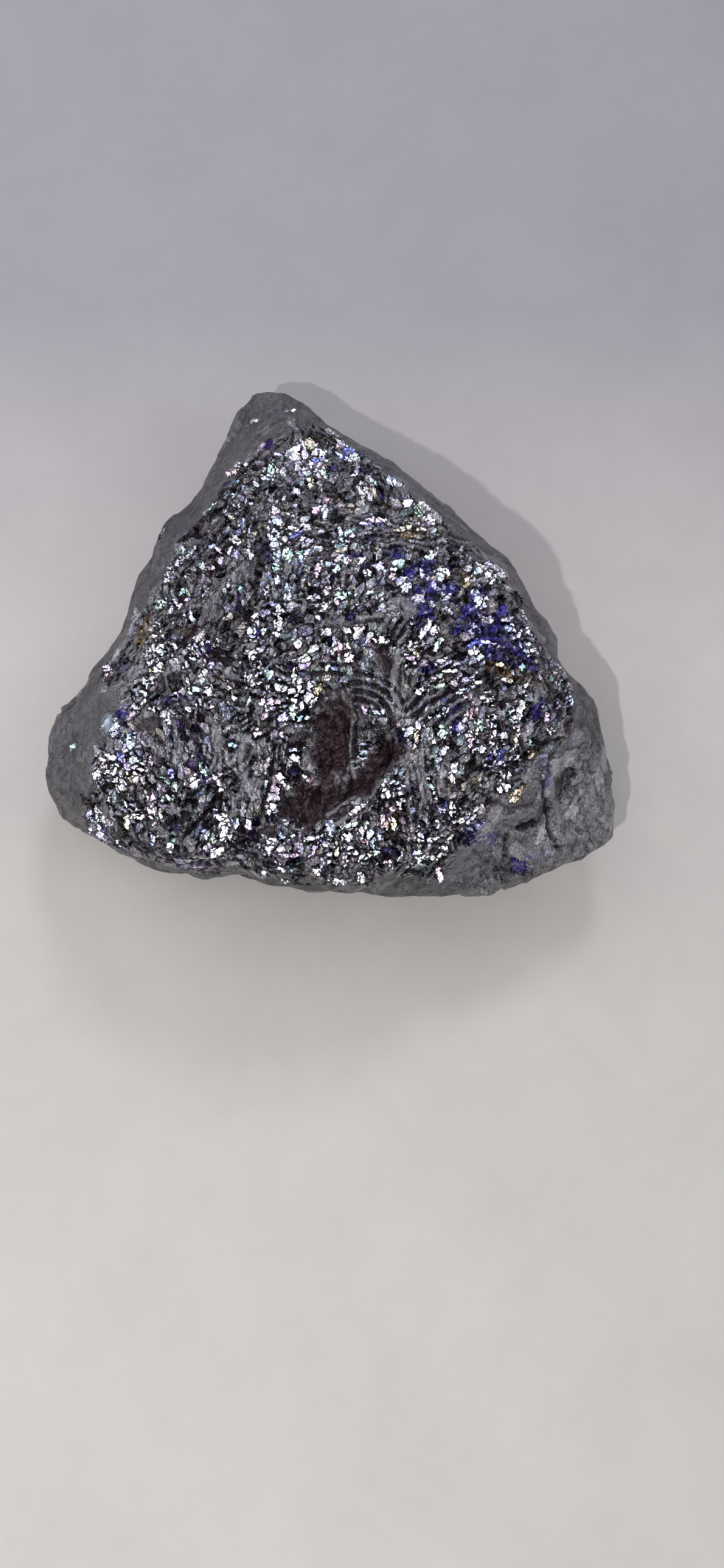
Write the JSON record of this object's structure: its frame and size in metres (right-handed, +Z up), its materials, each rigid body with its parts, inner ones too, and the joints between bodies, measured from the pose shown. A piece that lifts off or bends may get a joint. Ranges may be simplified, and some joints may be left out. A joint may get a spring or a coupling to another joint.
{
  "type": "silicon chunk",
  "caption": "Hand-sized broken lump of crystalline silicon: roughly triangular outline, a sparkling granular top, smooth grey broken margins, and a flat broken face to rest on.",
  "frame": {"origin": "bottom centre of the bounding box, in the plane of the flat face that the lump rests on", "axes": "+Z up, away from the resting face; +X along the widest side of the outline, to the smooth corner; +Y towards the narrow tip"},
  "size_m": [0.06, 0.058, 0.0246],
  "materials": {
    "grey_silicon": "broken crystalline silicon: dark grey with a half-metallic shine, mirror-bright grains with a blue, violet and gold tarnish on top, smoother dull grey on its margins"
  },
  "bodies": {
    "root": {"silicon_chunk": "grey_silicon"}
  },
  "joints": []
}
